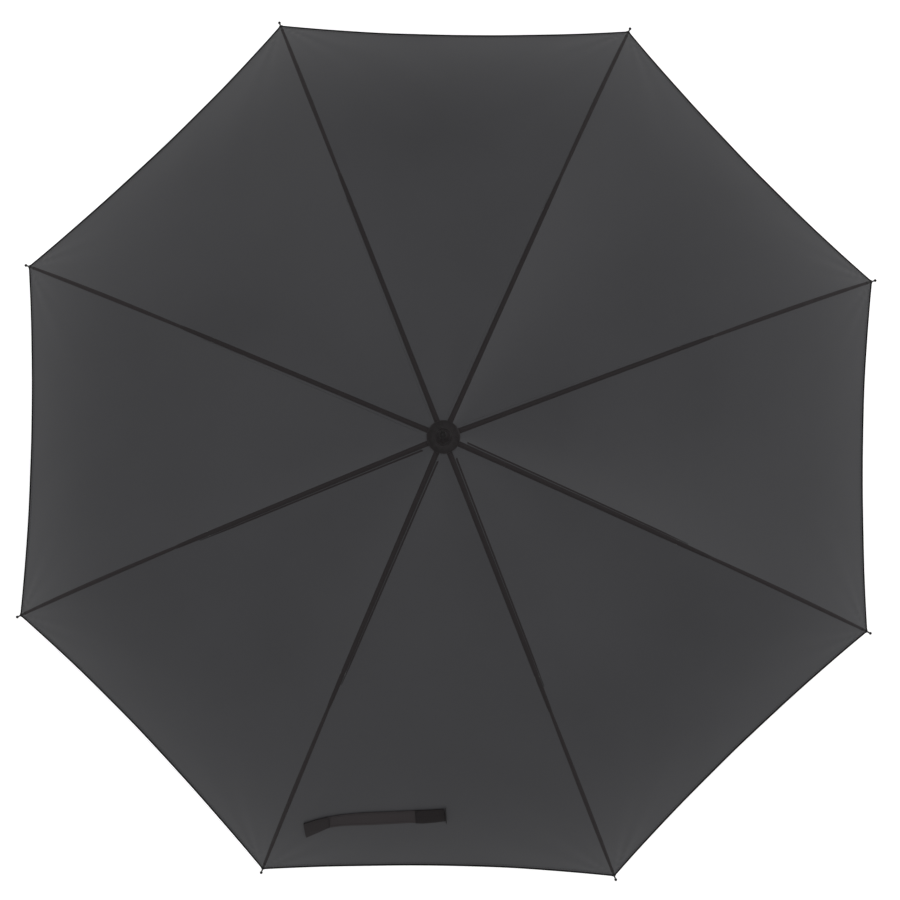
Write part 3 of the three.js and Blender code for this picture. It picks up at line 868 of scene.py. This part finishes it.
TIES = {"inner": (0.16, 0.33), "outer": (0.52,)}  # lengths along the rib
TIE_TURNS, TIE_PITCH = 3, 0.0009


def seam_ties(rib, part, lengths):
    """Turns of thread that tie the seam to the steel or the rod under it."""
    shape = Shape()
    half = CHANNEL_HALF if part == "inner" else ROD_RADIUS
    for length in lengths:
        _, across, up, along = rib_station(rib, length)
        for i in range(TIE_TURNS):
            centre = rib_station(rib, length + TIE_PITCH * i, -0.0005)[0]
            thread_ring(shape, centre, across, up, along, half + 0.0005, half + 0.0006, 0.0003, 0)
    piece = shape.build(f"thread_ties_{rib + 1}_{part}", [thread])
    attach(piece, body_name(rib, part))


# -------------------- strap that ties the closed umbrella
# a distance across from the middle of panel 1, then the lengths along the rib of the strap's two edges
STRAP = [
    (-0.1875, 0.6229, 0.6534),
    (-0.1720, 0.6164, 0.6439),
    (-0.1560, 0.6114, 0.6339),
    (-0.1380, 0.6082, 0.6318),
    (-0.1000, 0.6059, 0.6322),
    (-0.0420, 0.6039, 0.6289),
    (-0.0240, 0.6033, 0.6300),
    (-0.0060, 0.6018, 0.6274),
    (0.0090, 0.5994, 0.6236),
]
STRAP_LEAN, STRAP_UPRIGHT = 0.0030, -0.09  # the ends lean, and the strap's middle doesn't
STRAP_RIPPLE = 0.0003
STRAP_COLUMNS = 12
STRAP_RIB = 0.00012  # height of the ribs along the webbing
STRAP_STITCH = (0.0024, 0.0012, 0.00028)  # length, gap and the thread's radius
# span across, height over the fabric, thickness, finish, where the rows of stitches lie, node replaced
STRAP_PARTS = {
    "strap_tab": ((-0.1875, -0.1540), 0.0002, 0.0026, webbing_dark, (0.08, 0.92), "strap_patch"),
    "strap_webbing": ((-0.1560, -0.0310), 0.0006, 0.0013, webbing, (0.09, 0.91), "tie_strap"),
    "strap_hook_patch": (
        (-0.0330, 0.0088), 0.0004, 0.0024, hooks, (0.08, 0.25, 0.42, 0.58, 0.75, 0.92), "tie_strap",
    ),
}
BARTACKS = (-0.1530, -0.0320, 0.0070)  # across
BARTACK_STITCH = (0.0022, 0.0006, 0.0004)
TAIL = (0.0092, 0.0108)  # across, at both ends of the thread on the strap's right


def strap_edges(across):
    x, low, high = (np.array(c) for c in zip(*STRAP))
    return np.interp(across, x, low), np.interp(across, x, high)


def from_middle(length, across):
    """The t of a point at a distance across from the middle of a panel's left half."""
    r, _ = rib_point(length)
    return 1 + across / (r * math.sin(HALF))


def strap_grid(span):
    """u and t, on the left half of the panel with the strap."""
    across = np.linspace(*span, 60)[:, None]
    low, high = strap_edges(across)
    share = np.linspace(0, 1, STRAP_COLUMNS + 1)[None, :]
    length = low + (high - low) * share + STRAP_RIPPLE * np.sin(70 * across)
    across = across + STRAP_LEAN * (share - 0.5) * np.abs(across - STRAP_UPRIGHT) / 0.1
    return u_at(length), from_middle(length, across)


def strap_points(u, t, lift):
    """The strap runs a little past the middle of its panel, so t may pass 1."""
    past = np.maximum(t - 1, 0)
    p = fabric(0, u, np.minimum(t, 1), lift)
    r, _ = rib_point(FABRIC_START + FABRIC_LENGTH * u)
    turn = azimuth(0.5)
    across = np.array((-math.sin(turn), math.cos(turn), 0))
    return p + (past * r * math.sin(HALF))[..., None] * across


def strap_part(name, span, height, thick, finish, rows, node):
    """A length of the strap with ribs along it, thinner at its edges, and its rows of stitches."""
    u, t = strap_grid(span)
    share = np.linspace(-1, 1, STRAP_COLUMNS + 1)[None, :]
    edge = 1 - np.abs(share) ** 6
    ribs = STRAP_RIB * np.cos(share * math.pi * 6)
    lift = height + thick * (0.6 + 0.4 * edge) + ribs
    shape = Shape()
    shape.shell(strap_points(u, t, lift), strap_points(u, t, np.full(u.shape, height)))
    for row in rows:
        column = int(row * STRAP_COLUMNS)
        u_row, t_row = u[:, column], t[:, column]
        line = strap_points(u_row, t_row, lift[0, column] + 0 * u_row)
        stitches(shape, line, fabric_normal(0, u_row, np.clip(t_row, 0.01, 1)), *STRAP_STITCH)
    piece = shape.build(name, [finish, thread])
    unwrap(piece, azimuth(0.5))
    gather(piece, 0, "outer")
    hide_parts(node)
    return piece


def bartacks():
    """The close stitches across the strap, and the end of thread at its right."""
    shape = Shape()
    for across in BARTACKS:
        low, high = strap_edges(across)
        length = np.linspace(low + 0.0005, high - 0.0005, 14)
        u, t = u_at(length), from_middle(length, across)
        line = strap_points(u, t, 0.0030 + 0 * length)
        stitches(shape, line, fabric_normal(0, u, np.minimum(t, 0.999)), *BARTACK_STITCH, 0)
    low, high = strap_edges(TAIL[0])
    length = np.linspace(low - 0.0005, high + 0.0050, 16)[:, None]
    ring = full_turn(10)[None, :]
    across = np.linspace(*TAIL, 16)[:, None] + 0.0006 * np.cos(ring)
    u = u_at(length) + 0 * ring
    shape.tube(strap_points(u, from_middle(length, across), 0.0018 + 0.0014 * np.sin(ring) + 0 * u))
    piece = shape.build("strap_bartacks", [thread])
    gather(piece, 0, "outer")


def strap():
    for name, spec in STRAP_PARTS.items():
        piece = strap_part(name, *spec)
    bartacks()


# -------------------- rods and tips
def rod(rib):
    """The fibreglass rod that carries a rib on to its tip."""
    shape = Shape()
    rings = []
    for length in np.linspace(CHANNEL_LENGTH - ROD_STUB, RIB_LENGTH - ROD_END_GAP, 60):
        centre, across, up, _ = rib_station(rib, length)
        rings.append(section(centre, across, up, ROD_RADIUS, ROD_RADIUS, 16))
    shape.tube(rings)
    piece = shape.build(f"rib_rod_fine_{rib + 1}", [fibreglass])
    unwrap(piece, azimuth(rib))
    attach(piece, f"rod_{rib + 1}")
    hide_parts(f"rib_rod_{rib + 1}")


def tip(rib):
    """The cup on a rod's end, its stem and the ball."""
    outwards, across = rib_axes(rib)
    along = outwards * math.cos(TIP_SLOPE) - Vector((0, 0, math.sin(TIP_SLOPE)))
    up = along.cross(across)
    r, z = (float(c) for c in rib_point(np.array(RIB_LENGTH)))
    place = Matrix((across, up, along)).transposed().to_4x4()
    place.translation = outwards * r + Vector((0, 0, z))
    bore = [(0, -0.0015), (0.0022, -0.0015), (0.0022, -0.0140)]
    cup = [(0.0030, -0.0140), (0.0031, -0.0060), (0.0026, -0.0055), (0.0026, -0.0045), (0.0029, -0.0040)]
    stem = [(0.0026, -0.0018), (0.0015, 0.0010), (0.0012, 0.0030), (0.0011, 0.0110)]
    ball = [(0.0021 * math.sin(a), 0.0132 - 0.0023 * math.cos(a)) for a in np.linspace(0.5, math.pi, 9)]
    shape = Shape()
    turned(shape, rounded([*bore, *cup, *stem, *ball[:-1], (0, 0.0155)], 0.0004, 3), 0, 28, place)
    piece = shape.build(f"rib_tip_fine_{rib + 1}", [tip_plastic])
    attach(piece, f"rod_{rib + 1}")
    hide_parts(f"rib_tip_{rib + 1}")


# -------------------- hub and handle
# The outlines are [radius, height]. Each starts from the box of the CAD node that its piece replaces.
BORE = 0.0073  # round the shaft
CAP_RIBS = 12
CAP_RIB_FROM, CAP_RIB_LENGTH = 0.0135, 0.0062
GRIP_GROOVES, GROOVE_DEPTH = 24, 0.00045  # in the grip's whole length, but only cut between GRIP_CUT
GRIP_CUT = (0.1, 0.85)


def settle(shape, name, finish, node):
    """Builds a piece on the shaft in place of its CAD node."""
    piece = shape.build(name, finish)
    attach(piece, "shaft_and_handle")
    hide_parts(node)


def top_cap():
    """The dished cap over the hub, with short raised ribs and a ring round the ferrule."""
    low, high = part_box("top_cap")
    radius, base, top = high.x, low.z, high.z
    dish = [(BORE, base + 0.0048), (radius - 0.004, base + 0.0014), (radius - 0.0008, base)]
    rim = [(radius, base + 0.0006), (radius - 0.0002, base + 0.0016)]
    rise = top - base - 0.0026
    crown = [
        (radius * math.cos(a), base + 0.0016 + rise * math.sin(a)) for a in np.linspace(0.08, 1.05, 12)
    ]
    ring = [(0.0118, crown[-1][1] + 0.0003), (0.0115, top), (BORE, top)]
    shape = Shape()
    sleeve(shape, [*dish, *rim, *crown, *ring])
    for i in range(CAP_RIBS):
        cap_rib(shape, 2 * math.pi * i / CAP_RIBS, crown)
    settle(shape, "hub_cap", [hub_plastic], "top_cap")


def cap_rib(shape, angle, crown):
    """A short rib that lies on the cap's curve, pointing away from the shaft."""
    out = np.array((math.cos(angle), math.sin(angle), 0))
    side = np.array((-math.sin(angle), math.cos(angle), 0))
    up = np.array((0, 0, 1))
    curve_r, curve_z = zip(*reversed(crown))
    rings = []
    for share in np.linspace(0, 1, 6):
        r = CAP_RIB_FROM + CAP_RIB_LENGTH * share
        width = 0.0003 + 0.0004 * math.sin(math.pi * share)
        rings.append(section(out * r + up * np.interp(r, curve_r, curve_z), side, up, width, 0.0003, 8))
    shape.tube(rings)


def ferrule():
    """The stepped barrel on the hub cap, which the button's peg goes into."""
    low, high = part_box("ferrule")
    base, top = low.z, high.z
    foot = [(BORE, base), (0.0115, base), (0.0115, base + 0.0018), (0.0098, base + 0.0026)]
    neck = [(0.0092, base + 0.0042), (0.0092, base + 0.0062), (0.0085, base + 0.0070)]
    barrel = [(0.0088, base + 0.0082), (0.0086, base + 0.0180), (0.0080, base + 0.0190)]
    taper = [(0.0080, base + 0.0202), (0.0084, base + 0.0212), (0.0064, top - 0.0090)]
    collar = [(0.0060, top - 0.0082), (0.0060, top - 0.0070), (0.0057, top - 0.0062), (0.0052, top)]
    inside = [(0.0026, top), (0.0026, top - 0.0095), (BORE, top - 0.0390)]
    shape = Shape()
    sleeve(shape, rounded([*foot, *neck, *barrel, *taper, *collar, *inside], 0.0005, 3))
    settle(shape, "ferrule_barrel", [hub_plastic], "ferrule")


def ferrule_button():
    """The grooved and domed end of the ferrule, on its peg."""
    low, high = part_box("ferrule_tip")
    base, top = low.z, high.z
    peg = [(0, base), (0.0023, base), (0.0023, top - 0.0077)]
    side = [(0.0050, top - 0.0077), (0.0050, top - 0.0062)]
    groove = [(0.0046, top - 0.0058), (0.0046, top - 0.0050), (0.0050, top - 0.0046)]
    dome = [(0.0050 * math.cos(a), top - 0.0032 + 0.0032 * math.sin(a)) for a in np.linspace(0.1, 1.45, 10)]
    shape = Shape()
    turned(shape, rounded([*peg, *side, *groove, *dome, (0, top)], 0.0003, 2), 0, 64)
    settle(shape, "ferrule_button", [tip_plastic], "ferrule_tip")


def grip():
    """The foam grip: waisted, with shallow grooves round it."""
    low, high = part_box("grip")
    radius, base, top = high.x, low.z, high.z
    heights = np.linspace(base, top, 90)
    share = (heights - base) / (top - base)
    waist = [radius - 0.0010, radius, radius - 0.0014, radius - 0.001, 0.0135]
    side = np.interp(share, [0, 0.03, 0.5, 0.87, 1], waist)
    cut = (share > GRIP_CUT[0]) & (share < GRIP_CUT[1])
    side = side - GROOVE_DEPTH * np.exp(-(((share * GRIP_GROOVES) % 1 - 0.5) / 0.12) ** 2) * cut
    shape = Shape()
    sleeve(shape, [(BORE, base), *zip(side, heights), (BORE, top)])
    settle(shape, "foam_grip", [foam], "grip")


def end_cap():
    """The cap under the grip, with a groove round it, and its plug inside the shaft."""
    _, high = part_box("end_cap")
    radius, top = high.x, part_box("grip")[0].z - 0.0003
    foot = [(0, 0.0012), (0.0090, 0.0012), (0.0096, 0.0), (radius - 0.0022, 0.0), (radius, 0.0022)]
    groove = [(radius, 0.0050), (radius - 0.0004, 0.0054), (radius - 0.0004, 0.0060), (radius, 0.0064)]
    brim = [(radius, top - 0.0008), (radius - 0.0008, top), (BORE, top)]
    plug = [(BORE, 0.0077), (0.0059, 0.0077), (0.0059, high.z), (0, high.z)]
    shape = Shape()
    turned(shape, rounded([*foot, *groove, *brim, *plug], 0.0006, 3))
    settle(shape, "handle_end_cap", [hub_plastic], "end_cap")


def grip_collar():
    """The tapered collar over the grip."""
    low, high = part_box("grip_collar")
    base, top = low.z, high.z
    brim = [(BORE, base), (0.0140, base), (0.0140, base + 0.0026), (0.0134, base + 0.0031)]
    taper = [(0.0134, base + 0.0038), (0.0130, base + 0.0042), (0.0098, top - 0.0012)]
    shape = Shape()
    sleeve(shape, rounded([*brim, *taper, (0.0090, top), (BORE, top)], 0.0004, 3))
    settle(shape, "handle_collar", [hub_plastic], "grip_collar")


# -------------------- floor, light and camera
FLOOR_SIZE, FLOOR_GAP = 30, 0.0005
FLOOR_GLOW = 0.50
WORLD_LIGHT = 0.53
BACKGROUND = 1.0
LIGHTS = [
    # name, azimuth, elevation and distance, size, watts
    ("softbox", 0, 90, 3.0, 2.0, 18),
    ("window_right", 22, 24, 3.6, 1.8, 20),
    ("window_far_left", 142, 24, 3.6, 1.6, 10),
    ("window_left", 195, 30, 3.6, 1.8, 8),
    ("window_front", -90, 30, 3.6, 1.8, 6),
    ("high_window_back", 82, 50, 3.6, 1.8, 6),
    ("high_window_front", -45, 50, 3.6, 1.8, 6),
]
LIT_CENTRE = Vector((0, 0, 0.75))
LENS = 141.3
CAMERA_DISTANCE = 5.0
CAMERA_AIM = Vector((0.0056, -0.0041, 0.65))
CAMERA_LEAN = (0.729, -2.640)  # degrees from straight up, towards X and Y
CAMERA_ROLL = -1.089


def stage():
    """A pale floor that glows a little, so that it is as white as the background."""
    f = Finish("pale_floor", 0.9)
    cloud = f.noise(f.place("Object"), 3.0)
    f.colour(cloud, (0.88, 0.88, 0.88), (0.9, 0.9, 0.9))
    f.shader.inputs["Emission Color"].default_value = (1, 1, 1, 1)
    f.shader.inputs["Emission Strength"].default_value = FLOOR_GLOW
    mesh = bpy.data.meshes.new("floor")
    corners = [(FLOOR_SIZE * x, FLOOR_SIZE * y, 0) for x, y in ((-1, -1), (1, -1), (1, 1), (-1, 1))]
    mesh.from_pydata(corners, [], [(0, 1, 2, 3)])
    mesh.materials.append(f.material)
    floor = bpy.data.objects.new("floor", mesh)
    floor.location.z = cad_box[0][2] - FLOOR_GAP
    scene.collection.objects.link(floor)


def sky():
    """An even soft light from all round. The picture's background is brighter than the light it gives."""
    world = bpy.data.worlds.new("studio")
    world.use_nodes = True
    nodes, links = world.node_tree.nodes, world.node_tree.links
    background = nodes["Background"]
    background.inputs["Color"].default_value = (1, 1, 1, 1)
    level = nodes.new("ShaderNodeMapRange")
    level.inputs["To Min"].default_value = WORLD_LIGHT
    level.inputs["To Max"].default_value = BACKGROUND
    links.new(nodes.new("ShaderNodeLightPath").outputs["Is Camera Ray"], level.inputs["Value"])
    links.new(level.outputs["Result"], background.inputs["Strength"])
    scene.world = world


def lights():
    for name, turn, rise, distance, size, watts in LIGHTS:
        data = bpy.data.lights.new(name, "AREA")
        data.shape = "DISK"
        data.size = size
        data.energy = watts
        lamp = bpy.data.objects.new(name, data)
        a, e = math.radians(turn), math.radians(rise)
        away = Vector((math.cos(a) * math.cos(e), math.sin(a) * math.cos(e), math.sin(e)))
        lamp.location = LIT_CENTRE + away * distance
        lamp.rotation_euler = away.to_track_quat("Z", "Y").to_euler()
        lamp.visible_camera = False
        scene.collection.objects.link(lamp)


def camera():
    """Looks almost straight down on the canopy."""
    data = bpy.data.cameras.new("camera")
    data.lens = LENS
    data.clip_end = 100
    eye = bpy.data.objects.new("camera", data)
    lean_x, lean_y, roll = (math.radians(d) for d in (*CAMERA_LEAN, CAMERA_ROLL))
    back = Vector((math.sin(lean_x), math.sin(lean_y), 0))
    back.z = math.sqrt(1 - back.length_squared)
    right = Vector((math.sin(roll), math.cos(roll), 0)).cross(back).normalized()
    up = back.cross(right)
    eye.matrix_world = Matrix((right, up, back)).transposed().to_4x4()
    eye.location = CAMERA_AIM + back * CAMERA_DISTANCE
    scene.collection.objects.link(eye)
    scene.camera = eye
    scene.view_settings.view_transform = "Standard"


# -------------------- assembly
dress_frame()
for rib in range(PANELS):
    for part in ("inner", "outer"):
        for side in (1, -1):
            half_gore(rib, side, part)
        seam(rib, part)
    for side in (1, -1):
        hem(rib, side)
    tip_pocket(rib)
    for part in ("inner", "outer"):
        seam_ties(rib, part, TIES[part])
    rod(rib)
    tip(rib)
strap()
top_cap()
ferrule()
ferrule_button()
grip()
end_cap()
grip_collar()
stage()
sky()
lights()
camera()
